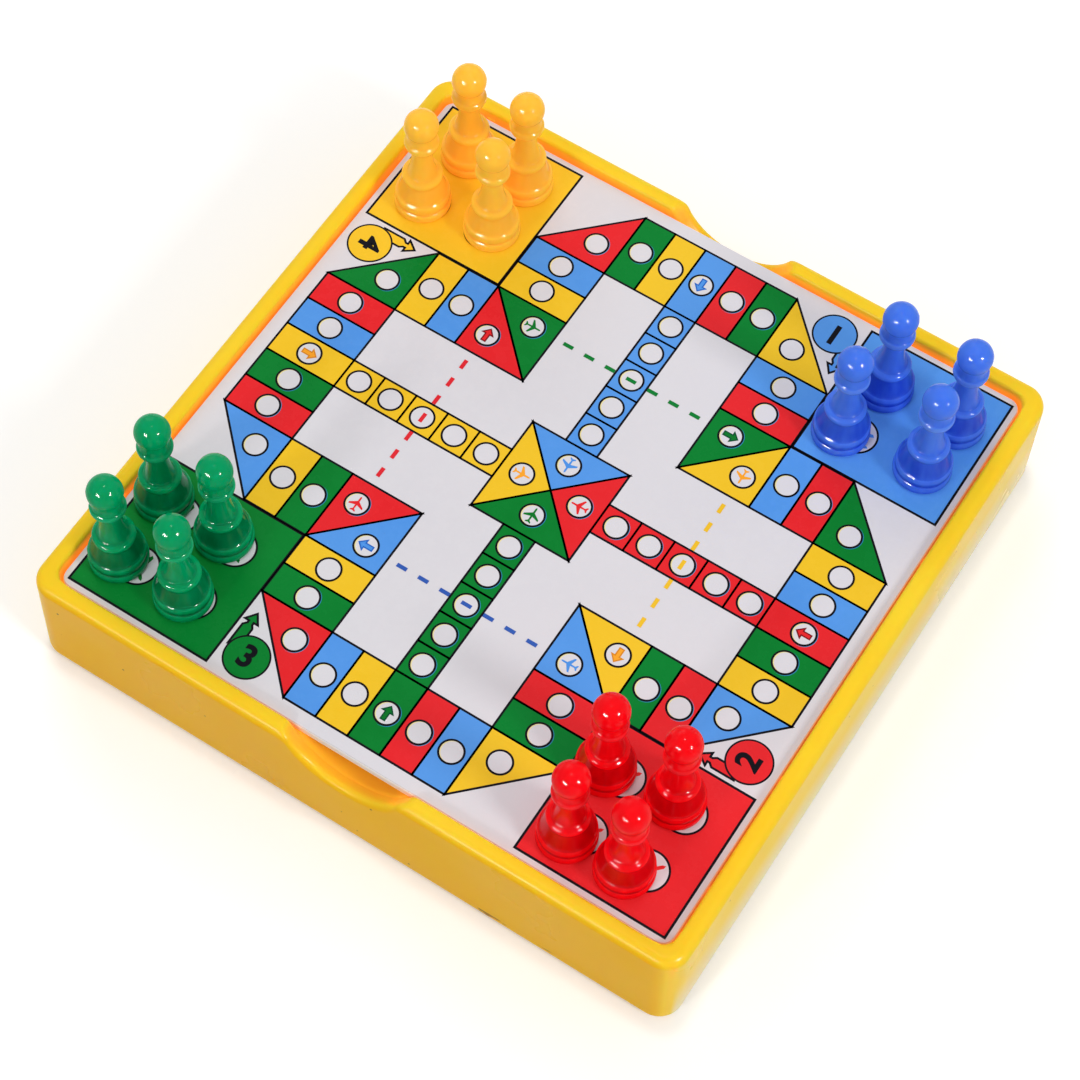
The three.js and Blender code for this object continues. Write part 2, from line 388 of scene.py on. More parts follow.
def painted_glow_share(tree):
    """Where the painted orange glow and shade go: one low on the inner walls, less in the finger
    notches, nought on the rim's top and outside.
    """
    axes = object_axes(tree)
    reaches = []
    for axis in ("X", "Y"):
        size = hang(tree, "ShaderNodeMath", operation="ABSOLUTE")
        feed(size, 0, axes[axis])
        reaches.append(size.outputs[0])
    inward = spread(combine("MAXIMUM", *reaches), 61.2 * MM, 62.8 * MM, 1, 0)
    below_rim = spread(axes["Z"], 22.1 * MM, 23.8 * MM, 1, 0)
    above_notch = spread(axes["Z"], 18.5 * MM, 21.5 * MM, 0.4, 1)
    return combine("MULTIPLY", inward, combine("MINIMUM", below_rim, above_notch))


def dirt_specks(tree, scale, size, share):
    """Sparse round dots: size is a share of the cell, and share says how many cells have one."""
    cells = hang(tree, "ShaderNodeTexVoronoi")
    cells.inputs["Scale"].default_value = scale
    feed(cells, "Vector", object_place(tree))
    dot = spread(cells.outputs["Distance"], size, size * 1.5, 1, 0)
    draw = hang(tree, "ShaderNodeSeparateColor")
    feed(draw, 0, cells.outputs["Color"])
    return combine("MULTIPLY", dot, spread(draw.outputs[0], 1 - share, 1.001 - share, 0, 1))


def foot_scuffs(tree):
    """Short dark streaks low on the front wall, towards its right end."""
    axes = object_axes(tree)
    marks = spread(object_noise(tree, 420, 2, stretch=(0.55, 1, 2.2)), 0.6, 0.66, 0, 0.8)
    limits = (("Z", 2.6, 3.2, 1, 0), ("Z", 1.2, 1.6, 0, 1), ("Y", -62, -61, 1, 0),
              ("X", 22, 25, 0, 1), ("X", 40, 43, 1, 0))
    for axis, low, high, before, after in limits:
        within = spread(axes[axis], low * MM, high * MM, before, after)
        marks = combine("MULTIPLY", marks, within)
    return marks


def tray_plastic():
    material, tree, shader = new_material("tray_yellow_plastic")
    axes = object_axes(tree)
    flow = spread(object_noise(tree, 35, detail=2), 0.3, 0.7, 0, 1)
    top = blend_colours(flow, srgb(255, 205, 36), srgb(255, 214, 50))
    # The front wall gets a darker, deeper yellow than the rest: a painted shade.
    front = blend_colours(flow, srgb(248, 184, 6), srgb(252, 192, 12))
    outer_front = spread(axes["Y"], -63.3 * MM, -62.6 * MM, 1, 0)
    # Painted reflection: the foot of the right wall is paled towards the white floor it mirrors.
    outer_right = spread(axes["X"], 62.8 * MM, 63.3 * MM, 0, 1)
    painted_reflection_share = combine("MULTIPLY", outer_right, spread(axes["Z"], 1 * MM, 14 * MM, 0.85, 0))
    right = blend_colours(painted_reflection_share, top, srgb(252, 240, 205))
    body = blend_colours(outer_front, right, front)
    # Painted glow and shade: a deeper orange and a faint orange emission, where the share is high.
    deep = blend_colours(flow, srgb(255, 160, 40), srgb(255, 172, 46))
    mouth = painted_glow_share(tree)
    moulded = blend_colours(mouth, body, deep)
    painted_glow_colour = blend_colours(mouth, (0, 0, 0, 1), (1.0, 0.31, 0.035, 1))
    feed(shader, "Emission Color", painted_glow_colour)
    specks = combine("MULTIPLY", dirt_specks(tree, 300, 0.05, 0.35),
                     spread(axes["Z"], 20 * MM, 21 * MM, 1, 0))
    marked = blend_colours(combine("MAXIMUM", specks, foot_scuffs(tree)), moulded,
                           srgb(112, 72, 28))
    feed(shader, "Base Color", marked)
    smudges = spread(object_noise(tree, 45, detail=3), 0.35, 0.7, 0.24, 0.4)
    feed(shader, "Roughness", smudges)
    set_values(shader, {"Emission Strength": 0.42, "Specular IOR Level": 0.05, "Subsurface Weight": 0.35,
                        "Subsurface Radius": (1.0, 0.45, 0.1), "Subsurface Scale": 2.0 * MM})
    uneven_skin(shader, 140, 0.02, 0.2)
    return material


tray_yellow = tray_plastic()


# %% [markdown]
# ## The tray's body
# The tray starts as a block. Its foot is a little wider than its rim, as a moulded part must be to
# leave the mould. The mouth is an inset of the top face, pushed down to the floor. The wall is then
# cut into upright strips where the two finger notches go, so that the rim can be lowered strip by
# strip along the notch's curve, and one bevel rounds the rim and the notches together.

# %% Tray block and mouth
tray = new_block("tray_shell", (2 * rim_half, 2 * rim_half, tray_height), (0, 0, tray_height / 2))
open_mesh(tray)
pick("FACE", lambda face: face.normal.z < -0.9)
flare = foot_half / rim_half
bpy.ops.transform.resize(value=(flare, flare, 1), center_override=(0, 0, 0))
pick("FACE", lambda face: face.normal.z > 0.9)
bpy.ops.mesh.inset(thickness=rim_half - recess_half)
raise_faces(floor_thickness - tray_height)
outer_corner_radius = 4.4 * MM
recess_corner_radius = 2.7 * MM
pick("EDGE", lambda edge: upright(edge) and abs(middle(edge).x) > 62 * MM)
round_edges(outer_corner_radius, 12)
pick("EDGE", lambda edge: upright(edge) and abs(edge.verts[0].co.x) < 60.5 * MM
     and abs(edge.verts[0].co.y) < 60.5 * MM and edge.calc_length() > 15 * MM)
round_edges(recess_corner_radius, 8)

# %% Finger notches
notch_depth = 7.1 * MM
notch_radius = 11.8 * MM
notch_end_round = 1.5 * MM
notch_inner_drop = 1.3 * MM


def notch_drop(x, growth):
    """How far the rim is lowered at x, on an arc with rounded ends; growth widens the arc."""
    radius = notch_radius + growth
    centre_rise = notch_radius - notch_depth
    end_x = math.sqrt((radius + notch_end_round) ** 2 - (centre_rise + notch_end_round) ** 2)
    meeting_x = end_x * radius / (radius + notch_end_round)
    x = abs(x)
    if x <= meeting_x:
        return math.sqrt(radius * radius - x * x) - centre_rise
    if x < end_x:
        return notch_end_round - math.sqrt(notch_end_round ** 2 - (end_x - x) ** 2)
    return 0.0


middle_strip = 1.05
end_strip = 0.38
ends_from = 9.9
strip_places = [step * middle_strip * MM for step in range(-9, 10)]
strip_places += [side * (ends_from + step * end_strip) * MM for side in (-1, 1) for step in range(10)]
for x in sorted(strip_places):
    pick("FACE", lambda face: abs(face.calc_center_median().y) > 59.5 * MM and face.normal.z > -0.5)
    bpy.ops.mesh.bisect(plane_co=(x, 0, 0), plane_no=(1, 0, 0))
for x in strip_places:
    for inner, growth in ((False, 0.0), (True, notch_inner_drop)):
        drop = notch_drop(x, growth)
        if drop > 0:
            pick("VERT", lambda corner: abs(corner.co.x - x) < 0.01 * MM and corner.co.z > 23.9 * MM
                 and (abs(corner.co.y) < 61 * MM) == inner)
            bpy.ops.transform.translate(value=(0, 0, -drop))
print("notch strips:", len(strip_places))


# %% Round the tray's edges
def looks_out(face):
    return abs(face.normal.z) < 0.2 and face.normal.xy.dot(face.calc_center_median().xy) > 0


def looks_in(face):
    return abs(face.normal.z) < 0.2 and face.normal.xy.dot(face.calc_center_median().xy) < 0


def between(edge, one, other):
    """True for an edge that has a face of one kind on one side and of the other kind on the other."""
    first, second = edge.link_faces
    return (one(first) and other(second)) or (one(second) and other(first))


def on_rim(face):
    return face.normal.z > 0.25 and face.calc_center_median().z > 12 * MM


pick("EDGE", lambda edge: between(edge, on_rim, looks_out))
round_edges(1.8 * MM, 7)
pick("EDGE", lambda edge: between(edge, on_rim, looks_in))
round_edges(0.6 * MM, 4)
pick("EDGE", lambda edge: between(edge, looks_out, lambda face: face.normal.z < -0.9))
round_edges(2.0 * MM, 6)
pick("EDGE", lambda edge: between(edge, looks_in, lambda face: face.normal.z > 0.9
                                  and face.calc_center_median().z < 3 * MM))
round_edges(1.5 * MM, 5)
close_mesh()
print("tray faces:", len(tray.data.polygons))

# %% [markdown]
# ## Inside the tray
# Slim ribs on the walls and a pad in each corner carry the board. Small nubs in the gap keep the
# board from rattling. Behind each finger notch the wall is thicker. A low square nest on the floor
# holds the die. Each is a small block with its free edges rounded, let a little into the wall or the
# floor so that no seam shows.

# %% Ribs, pads and nubs
plate_bottom = plate_low.z
wall_root = 0.6 * MM
rib_reach = 3.0 * MM
rib_width = 1.6 * MM
pad_reach = 5.0 * MM
nub_reach = 0.2 * MM
nub_width = 1.8 * MM
nub_height = 0.8 * MM


def rib(name, size, place, low, high, rounding, on_side_wall=False):
    """An upright block with rounded edges, placed on a front or back wall or else on a side wall."""
    if on_side_wall:
        size, place = size[::-1], place[::-1]
    block = new_block(name, (*size, high - low), (*place, (low + high) / 2))
    open_mesh(block)
    pick("EDGE", lambda edge: True)
    round_edges(rounding, 2)
    close_mesh()
    return block


fittings = []
rib_base = floor_thickness - 0.5 * MM
for side in (-1, 1):
    across = side * (recess_half + (wall_root - rib_reach) / 2)
    for share in (-0.78, -0.4, 0.4, 0.78):
        along = share * recess_half
        for on_side_wall in (False, True):
            fittings.append(rib("rib", (rib_width, rib_reach + wall_root), (along, across), rib_base,
                                plate_bottom, 0.25 * MM, on_side_wall))
    for other in (-1, 1):
        corner = recess_half + (wall_root - pad_reach) / 2
        fittings.append(rib("pad", (pad_reach + wall_root, pad_reach + wall_root),
                            (side * corner, other * corner), rib_base, plate_bottom, 0.4 * MM))

nub_places = [(share, side, False) for side in (-1, 1) for share in (-0.85, 0.85)]
nub_places += [(share, side, True) for share in (-0.68, 0.73) for side in (-1, 1)]
for share, side, on_side_wall in nub_places:
    place = (share * recess_half, side * (recess_half + (wall_root - nub_reach) / 2))
    fittings.append(rib("nub", (nub_width, wall_root + nub_reach), place, plate_high.z - nub_height,
                        plate_high.z, 0.12 * MM, on_side_wall))

# %% Backs of the finger notches
def notch_back():
    """The block behind the front notch, whose top carries on the notch's curve and slopes inward."""
    reach = 3.4 * MM
    width = 26 * MM
    wall_side_share = 0.82
    inner_side_share = 1.25
    block = new_block("notch_back", (width, reach + wall_root, plate_bottom - rib_base),
                      (0, -(recess_half + (wall_root - reach) / 2), (plate_bottom + rib_base) / 2))
    open_mesh(block)
    for x in strip_places:
        pick("FACE", lambda face: True)
        bpy.ops.mesh.bisect(plane_co=(x, 0, 0), plane_no=(1, 0, 0))
    for x in strip_places:
        at_rim = notch_drop(x, 0)
        slope = notch_drop(x, notch_inner_drop) - at_rim
        for inner, slope_share in ((False, wall_side_share), (True, inner_side_share)):
            drop = at_rim + slope * slope_share - (tray_height - plate_bottom)
            if drop > 0:
                pick("VERT", lambda corner: abs(corner.co.x - x) < 0.01 * MM
                     and corner.co.z > plate_bottom - 0.1 * MM
                     and (corner.co.y > reach - recess_half - 0.1 * MM) == inner)
                bpy.ops.transform.translate(value=(0, 0, -drop))
    pick("EDGE", lambda edge: not upright(edge) and middle(edge).z > 12 * MM
         and middle(edge).y > reach - recess_half - 0.1 * MM)
    round_edges(0.5 * MM, 3)
    close_mesh()
    return block


back = notch_back()
work_on(back)
bpy.ops.object.duplicate()
opposite = bpy.context.object
opposite.rotation_euler.z = math.pi
bpy.ops.object.transform_apply(rotation=True)
fittings += [back, opposite]

# %% Die nest
die_low, die_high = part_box("die")
die_centre = (die_low + die_high) / 2
nest_play = 0.3 * MM
nest_wall = 1.2 * MM
nest_rise = 3.0 * MM
nest_root = 0.5 * MM
nest_half = (die_high.x - die_low.x) / 2 + nest_play + nest_wall
nest = new_block("nest", (2 * nest_half, 2 * nest_half, nest_rise + nest_root),
                 (die_centre.x, die_centre.y, floor_thickness + (nest_rise - nest_root) / 2))
open_mesh(nest)
pick("FACE", lambda face: face.normal.z > 0.9)
bpy.ops.mesh.inset(thickness=nest_wall)
raise_faces(0.1 * MM - nest_rise)
pick("EDGE", lambda edge: upright(edge) or middle(edge).z > 4.9 * MM)
round_edges(0.35 * MM, 3)
close_mesh()
fittings.append(nest)

join_into(tray, fittings)
tray.data.materials.clear()
tray.data.materials.append(tray_yellow)
even_shading(tray)
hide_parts("tray")
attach(tray, "tray_body")
print("tray with its ribs:", len(tray.data.polygons), "faces")


# %% [markdown]
# ## The board plate
# The board is a white plastic plate. Only its edge shows in the gap, as a bright line, so the edge is
# rounded a little to catch the light. A block with rounded corners is all it takes.

# %% Board plate
def board_plastic():
    material, tree, shader = new_material("board_white_plastic")
    clouds = spread(object_noise(tree, 40, detail=2), 0.35, 0.65, 0, 1)
    body = blend_colours(clouds, srgb(226, 221, 216), srgb(234, 230, 226))
    feed(shader, "Base Color", body)
    feed(shader, "Roughness", spread(object_noise(tree, 300), 0.3, 0.7, 0.3, 0.42))
    uneven_skin(shader, 700, 0.02, 0.3)
    return material


plate_size = plate_high - plate_low
board_plate = new_block("board_plate_shell", plate_size, (plate_low + plate_high) / 2)
open_mesh(board_plate)
pick("EDGE", upright)
round_edges(2.2 * MM, 8)
pick("EDGE", lambda edge: not upright(edge))
round_edges(0.22 * MM, 3)
close_mesh()
board_plate.data.materials.append(board_plastic())
even_shading(board_plate)
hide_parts("board_plate")
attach(board_plate, "board_body")


# %% [markdown]
# ## Inks
# The print is a glossy label in black and four colours. The small figures, their outlines and the
# dashes are each a little off the main four. Each ink lies a little unevenly on the paper, and the
# sheet's skin has a faint grain. One maker gives all the inks their mottle at the same scale.

# %% Label inks
def label_ink(name, shade, lighter):
    """An ink whose shade is mottled with a lighter one, both written 0 to 255."""
    shade, lighter = srgb(*shade), srgb(*lighter)
    material, tree, shader = new_material(name)
    mottle = spread(object_noise(tree, 420, detail=5, roughness=0.65), 0.35, 0.68, 0, 1)
    clouds = spread(object_noise(tree, 28, detail=1), 0.3, 0.7, 0, 1)
    patches = blend_colours(clouds, shade, lighter)
    grain = blend_colours(spread(mottle, 0, 1, 0.0, 0.5), patches, lighter)
    feed(shader, "Base Color", grain)
    feed(shader, "Roughness", spread(mottle, 0, 1, 0.22, 0.32))
    shader.inputs["Specular IOR Level"].default_value = 0.06
    uneven_skin(shader, 1500, 0.004, 0.15)
    return material


paper_white = label_ink("label_paper", (219, 216, 222), (224, 221, 226))
ink_black = label_ink("ink_black", (8, 8, 14), (16, 15, 24))
colour_order = ["green", "yellow", "blue", "red"]
ink_shades = {
    "colour": [
        ("ink_green", (3, 122, 42), (8, 130, 50)), ("ink_yellow", (243, 194, 36), (247, 201, 48)),
        ("ink_blue", (80, 148, 230), (92, 158, 236)), ("ink_red", (230, 34, 40), (235, 44, 50))],
    "figure": [
        ("figure_green", (6, 112, 36), (12, 122, 44)), ("figure_orange", (250, 160, 38), (255, 172, 50)),
        ("figure_blue", (70, 140, 226), (84, 152, 234)), ("figure_red", (228, 34, 38), (236, 46, 50))],
    "line": [
        ("outline_green", (3, 70, 44), (6, 82, 50)), ("outline_orange", (214, 132, 30), (224, 142, 40)),
        ("outline_blue", (30, 96, 190), (40, 108, 200)), ("outline_red", (120, 14, 22), (132, 20, 28))],
    "dash": [
        ("dash_green", (8, 118, 44), (14, 126, 52)), ("dash_yellow", (240, 190, 40), (246, 198, 54)),
        ("dash_blue", (44, 84, 172), (58, 98, 184)), ("dash_red", (222, 36, 48), (230, 48, 58))],
}
inks = {kind: [label_ink(*row) for row in rows] for kind, rows in ink_shades.items()}
fringe_cyan = label_ink("fringe_cyan", (40, 130, 180), (60, 150, 195))
fringe_straw = label_ink("fringe_straw", (236, 220, 150), (242, 228, 170))
print("inks:", [ink.name for kind in inks.values() for ink in kind])

# %% [markdown]
# ## One quarter of the print
# The pattern repeats four times round the board with the colours moved on by one. So one quarter is
# made by hand and copied. Each shape starts as a flat disc with as many corners as the shape has, the
# corners are moved to their places, and the face is raised to its ink's layer. The layers are a few
# thousandths of a millimetre apart, so later inks cover earlier ones as in real printing.

# %% Ink layers and shapes
layer_step = 0.0075 * MM
paper_top = board_top - 8 * layer_step
LAYERS = {"black": 1, "colour": 2, "under ring": 3, "ring": 4, "white": 6, "figure line": 7, "figure": 8}
SLOTS = ["paper", "black", "colour 0", "colour 1", "colour 2", "colour 3",
         "figure 0", "figure 2", "line 0", "line 2", "dash 0"]


def lay_ink(points, layer, slot):
    """Adds one flat shape to the mesh that is open, with its corners at points, in squares."""
    slot_index = SLOTS.index(slot) if slot in SLOTS else slot
    bpy.ops.mesh.select_all(action="DESELECT")
    bpy.ops.mesh.primitive_circle_add(vertices=len(points), radius=SQUARE, fill_type="NGON",
                                      location=(0, 0, paper_top - 2 * layer_step))
    mesh = bpy.context.object.data
    form = bmesh.from_edit_mesh(mesh)
    fresh = [corner for corner in form.verts if corner.select]
    fresh.sort(key=lambda corner: corner.index)
    for corner, (x, y) in zip(fresh, points):
        corner.co.x = x * SQUARE
        corner.co.y = y * SQUARE
    for face in form.faces:
        if face.select:
            face.material_index = slot_index
    bmesh.update_edit_mesh(mesh)
    raise_faces((LAYERS[layer] + 2) * layer_step)


def disc(x, y, radius, corners=40):
    turns = [2 * math.pi * step / corners for step in range(corners)]
    return [(x + radius * math.sin(turn), y + radius * math.cos(turn)) for turn in turns]


def grown(points, growth):
    """A shape with straight sides, every side moved outward by growth, or inward if it is negative."""
    area = sum(a[0] * b[1] - b[0] * a[1] for a, b in zip(points, points[1:] + points[:1]))
    if area > 0:
        growth = -growth
    moved = []
    count = len(points)
    for index in range(count):
        before, here, after = (Vector(points[(index + shift) % count]) for shift in (-1, 0, 1))
        first = (here - before).normalized()
        second = (after - here).normalized()
        first_normal = Vector((-first.y, first.x))
        second_normal = Vector((-second.y, second.x))
        lean = (first_normal + second_normal) / (1 + first_normal.dot(second_normal))
        moved.append(tuple(here + lean * growth))
    return moved


def rectangle(x1, y1, x2, y2):
    return [(x1, y1), (x1, y2), (x2, y2), (x2, y1)]


line = 0.064
ring_radius = 0.37
spot_radius = 0.31
circles = []


def inked_cell(points, number):
    lay_ink(grown(points, line / 2), "black", "black")
    lay_ink(grown(points, -line / 2), "colour", f"colour {number % 4}")


def inked_circle(x, y, number):
    """A white spot in a black ring."""
    circles.append((x, y, number))
    lay_ink(disc(x, y, ring_radius), "ring", "black")
    lay_ink(disc(x, y, spot_radius), "white", "paper")


# %% [markdown]
# ## Little figures
# The track's circles hold small aeroplanes and block arrows. They are redrawn here as plain generic
# figures: an aeroplane of fuselage, wings and tail, and an arrow of shaft and head.

# %% Figures
def place_figure(points, x, y, quarter_turns, size):
    """Turns a figure that points to +Y by quarter turns to the left, and moves it to its place."""
    turn = Matrix.Rotation(quarter_turns * math.pi / 2, 2)
    return [tuple(Vector((x, y)) + turn @ Vector(point) * size) for point in points]


plane_half = [(0, 0.5), (0.05, 0.42), (0.055, 0.16), (0.44, -0.1), (0.44, -0.2), (0.055, -0.08),
              (0.045, -0.33), (0.16, -0.43), (0.16, -0.5), (0, -0.45)]
plane_shape = plane_half + [(-x, y) for x, y in plane_half[-2:0:-1]]
arrow_half = [(0, 0.5), (0.42, 0.04), (0.17, 0.04), (0.17, -0.46)]
arrow_shape = arrow_half + [(-x, y) for x, y in arrow_half[:0:-1]]


def inked_plane(x, y, quarter_turns, size, group):
    lay_ink(place_figure(plane_shape, x, y, quarter_turns, size), "figure", f"figure {group}")


def inked_arrow(x, y, quarter_turns, size, group):
    outer = place_figure(arrow_shape, x, y, quarter_turns, size)
    lay_ink(outer, "figure line", f"line {group}")
    lay_ink(grown(outer, -0.04), "figure", f"figure {group}")


# %% [markdown]
# ## Laying the quarter's inks
# Every cell is a black shape with a smaller coloured one on it, and most cells carry a white circle. The
# arm of the cross is five cells wide. Its outer row is deep, slanting cells lead round the row's ends,
# and a lane of small cells runs to the middle. The home square and the start disc come last.

# %% Print one quarter
select_nothing()
bpy.ops.mesh.primitive_plane_add(size=1)
quarter = bpy.context.object
quarter.name = "print_quarter"
open_mesh(quarter)
bpy.ops.mesh.select_all(action="SELECT")
bpy.ops.mesh.delete(type="VERT")
for slot_name in SLOTS:
    quarter.data.materials.append(bpy.data.materials.new(f"proof {slot_name}"))

arm_half = 2.5
row_low = 6.75
row_high = 9
home_start = 4.75
for number in range(5):
    inked_cell(rectangle(number - arm_half, row_low, number - arm_half + 1, row_high), number)
    inked_circle(number - 2, 7.91, number)
inked_cell([(-home_start, row_low), (-arm_half, row_high), (-arm_half, row_low)], 3)
inked_circle(-3.207, 7.476, 3)
inked_cell([(arm_half, row_high), (home_start, row_low), (arm_half, row_low)], 1)
inked_circle(3.207, 7.476, 1)
for side, numbers in ((-1, (2, 1)), (1, (2, 3))):
    for low, number in zip((5.75, 4.75), numbers):
        left, right = sorted((side * arm_half, side * home_start))
        inked_cell(rectangle(left, low, right, low + 1), number)
        inked_circle(side * 3.6355, low + 0.52, number)
    inked_cell([(side * home_start, home_start), (side * arm_half, home_start),
                (side * arm_half, arm_half)], 0)
    inked_circle(side * 3.21, 4.135, 0)
lane_pitch = 1.038
for step in range(5):
    high = row_low - step * lane_pitch
    inked_cell(rectangle(-0.5, high - lane_pitch, 0.5, high), 2)
    inked_circle(0, 6.25 - step * 1.043, 2)
inked_cell([(0, 0), (-1.56, 1.56), (1.56, 1.56)], 2)
inked_circle(0, 0.92, 2)
home_end = 9.27
home_line = 0.07
inner = (home_start + home_line, home_end - home_line)
lay_ink(rectangle(home_start, home_start, home_end, home_end), "black", "black")
lay_ink(rectangle(inner[0], inner[0], inner[1], inner[1]), "colour", "colour 2")
for x in (6.085, 7.935):
    for y in (6.085, 7.935):
        lay_ink(disc(x, y, 0.6, 56), "ring", "black")
        lay_ink(disc(x, y, 0.54, 56), "white", "paper")
        inked_plane(x, y, 0.5, 0.98, 2)
dash_y = 4.15
dash_half = (0.155, 0.058)
for x in (-2.05, -1.37, -0.69, 0, 0.69, 1.37, 2.05):
    lay_ink(rectangle(x - dash_half[0], dash_y - dash_half[1], x + dash_half[0], dash_y + dash_half[1]),
            "figure", "dash 0")

inked_arrow(0, 7.91, 2, 0.5, 2)
inked_arrow(3.21, 4.135, 3, 0.5, 0)
inked_plane(-3.21, 4.135, 3, 0.5, 0)
inked_plane(0, 0.92, 2, 0.52, 2)

start_x, start_y = 3.96, 8.58
start_arrow = [(4.31, 8.02), (4.31, 7.83), (4.38, 7.73), (4.38, 7.66), (4.25, 7.66), (4.45, 7.38),
               (4.66, 7.66), (4.53, 7.66), (4.53, 7.73), (4.62, 7.83), (4.62, 8.5), (4.31, 8.4)]
lay_ink(grown(start_arrow, line / 2), "black", "black")
lay_ink(grown(start_arrow, -line / 2), "colour", "colour 2")
lay_ink(disc(start_x, start_y, 0.65, 64), "ring", "black")
lay_ink(disc(start_x, start_y, 0.6, 64), "white", "colour 2")
face_outward()
close_mesh()
print("quarter print:", len(quarter.data.polygons), "faces")

# %% [markdown]
# ## The whole sheet
# The label itself is a thin sheet with rounded corners. Four copies of the quarter go on it, each
# turned a quarter further with its inks moved on by one colour, and each start disc gets a number.

# %% Sheet and copies
sheet_half = sheet_high.x
select_nothing()
bpy.ops.mesh.primitive_plane_add(size=2 * sheet_half, location=(0, 0, sheet_low.z))
bpy.ops.object.transform_apply(location=True)
label = bpy.context.object
label.name = "printed_label"
open_mesh(label)
pick("VERT", lambda corner: True)
bpy.ops.mesh.bevel(offset=2.05 * MM, segments=8, affect="VERTICES")
pick("FACE", lambda face: True)
raise_faces(paper_top - sheet_low.z)
face_outward()
close_mesh()
label.data.materials.append(paper_white)


def ink_for(slot_name, turn):
    """The ink that a slot of the quarter holds on the copy that is turned this many quarters."""
    kind, _, number = slot_name.rpartition(" ")
    if not kind:
        return paper_white if slot_name == "paper" else ink_black
    return inks[kind][(int(number) + turn) % 4]


numeral_lift = 1.5 * layer_step
parts = []
for turn in range(4):
    work_on(quarter)
    bpy.ops.object.duplicate()
    copy = bpy.context.object
    for index, slot_name in enumerate(SLOTS):
        copy.data.materials[index] = ink_for(slot_name, turn)
    copy.rotation_euler.z = -turn * math.pi / 2
    bpy.ops.object.transform_apply(rotation=True)
    parts.append(copy)

    bpy.ops.object.text_add(location=(0, 0, 0))
    numeral = bpy.context.object
    numeral.data.body = str(turn + 1)
    numeral.data.size = 0.9 * SQUARE
    numeral.data.align_x = "CENTER"
    numeral.data.align_y = "CENTER"
    numeral.data.offset = 0.03 * SQUARE
    numeral.data.extrude = numeral_lift
    bpy.ops.object.convert(target="MESH")
    numeral = bpy.context.object
    numeral.rotation_euler.z = math.pi - turn * math.pi / 2
    spot = Matrix.Rotation(-turn * math.pi / 2, 3, "Z") @ Vector((start_x, start_y, 0))
    numeral.location = (spot.x * SQUARE, spot.y * SQUARE, board_top - numeral_lift)
    bpy.ops.object.transform_apply(location=True, rotation=True)
    numeral.data.materials.append(ink_black)
    parts.append(numeral)

bpy.data.objects.remove(quarter)
for slot_name in SLOTS:
    bpy.data.materials.remove(bpy.data.materials[f"proof {slot_name}"])
join_into(label, parts)

# %% [markdown]
# ## Fringes of colour
# The printed colours don't lie exactly on each other. So a thin blue-green crescent shows beside many of
# the rings, and a straw-coloured one beside the white spots. Each is the part of a disc that a second
# one, shifted by a little, leaves bare.

# %% Fringes of a print out of register
def crescent(x, y, radius, shift_x, shift_y, corners=18):
    """The outline of what a shifted disc leaves bare of a disc."""
    middle_turn = math.atan2(-shift_y, -shift_x)
    turns = [middle_turn + math.pi * (step / corners - 0.5) for step in range(corners + 1)]
    outer = [(x + radius * math.cos(turn), y + radius * math.sin(turn)) for turn in turns]
    inner = [(x + shift_x + radius * math.cos(turn), y + shift_y + radius * math.sin(turn))
             for turn in reversed(turns)]
    return outer + inner


cyan_slot = len(label.data.materials)
straw_slot = cyan_slot + 1
for ink in (fringe_cyan, fringe_straw):
    label.data.materials.append(ink)
open_mesh(label)
for turn in range(4):
    for x, y, number in circles:
        colour = colour_order[(number + turn) % 4]
        spot = Matrix.Rotation(-turn * math.pi / 2, 2) @ Vector((x, y))
        if colour in ("green", "red"):
            lay_ink(crescent(*spot, ring_radius + 0.018, -0.022, 0.004), "under ring", cyan_slot)
        if colour != "yellow":
            lay_ink(crescent(*spot, spot_radius + 0.001, 0.032, 0.002), "figure line", straw_slot)
close_mesh()
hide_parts("printed_sheet")
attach(label, "board_body")
print("label:", len(label.data.polygons), "faces,", len(label.data.materials), "inks")


# %% [markdown]
# ## The pawns' plastic
# The pawns are moulded in a tinted plastic that light goes into. The thin rims are painted lighter, a
# painted glow, and the thick bell deeper, a painted shade, with upright lighter streaks; the head keeps
# the plain colour and so looks lighter than the bell. A value stored on each ring of corners says how
# light the plastic is painted there: 0 deep, 0.5 plain and 1 a thin rim. Subsurface scattering does the
# inside glow, and the red and the yellow ones also get a faint emission of their tint, a painted glow.

# %% Pawn plastic
def pawn_plastic(colour, deep, body, rim, glow, depth, painted_glow_strength):
    """Shades are 0 to 255. Red, green and blue light reach glow times depth, which is in millimetres."""
    deep, body, rim = srgb(*deep), srgb(*body), srgb(*rim)
    material, tree, shader = new_material(f"pawn_{colour}_plastic")
    painted_lightness = hang(tree, "ShaderNodeAttribute", attribute_name="painted_lightness").outputs["Fac"]
    streaks = spread(object_noise(tree, 520, 2, stretch=(1, 1, 0.14)), 0.36, 0.68, 0.04, 0.28)
    swirls = spread(object_noise(tree, 130, detail=2), 0.35, 0.65, -0.08, 0.08)
    # Painted light and shade: the thin rims lighter, the thick bell deeper.
    thick_share = combine("ADD", spread(painted_lightness, 0, 0.5, 0, 1),
                          combine("ADD", streaks, swirls))
    plain = blend_colours(spread(thick_share, 0, 1, 0, 1), deep, body)
    tint = blend_colours(spread(painted_lightness, 0.6, 1, 0, 0.8), plain, rim)
    feed(shader, "Base Color", tint)
    # A faint emission of the tint, a painted glow, for the red and the yellow pawns.
    feed(shader, "Emission Color", tint)
    feed(shader, "Roughness", spread(object_noise(tree, 500), 0.3, 0.7, 0.07, 0.11))
    set_values(shader, {"Emission Strength": painted_glow_strength, "Specular IOR Level": 0.065,
                        "Subsurface Weight": 0.5, "Subsurface Radius": glow,
                        "Subsurface Scale": depth * MM})
    uneven_skin(shader, 300, 0.02, 0.2)
    return material


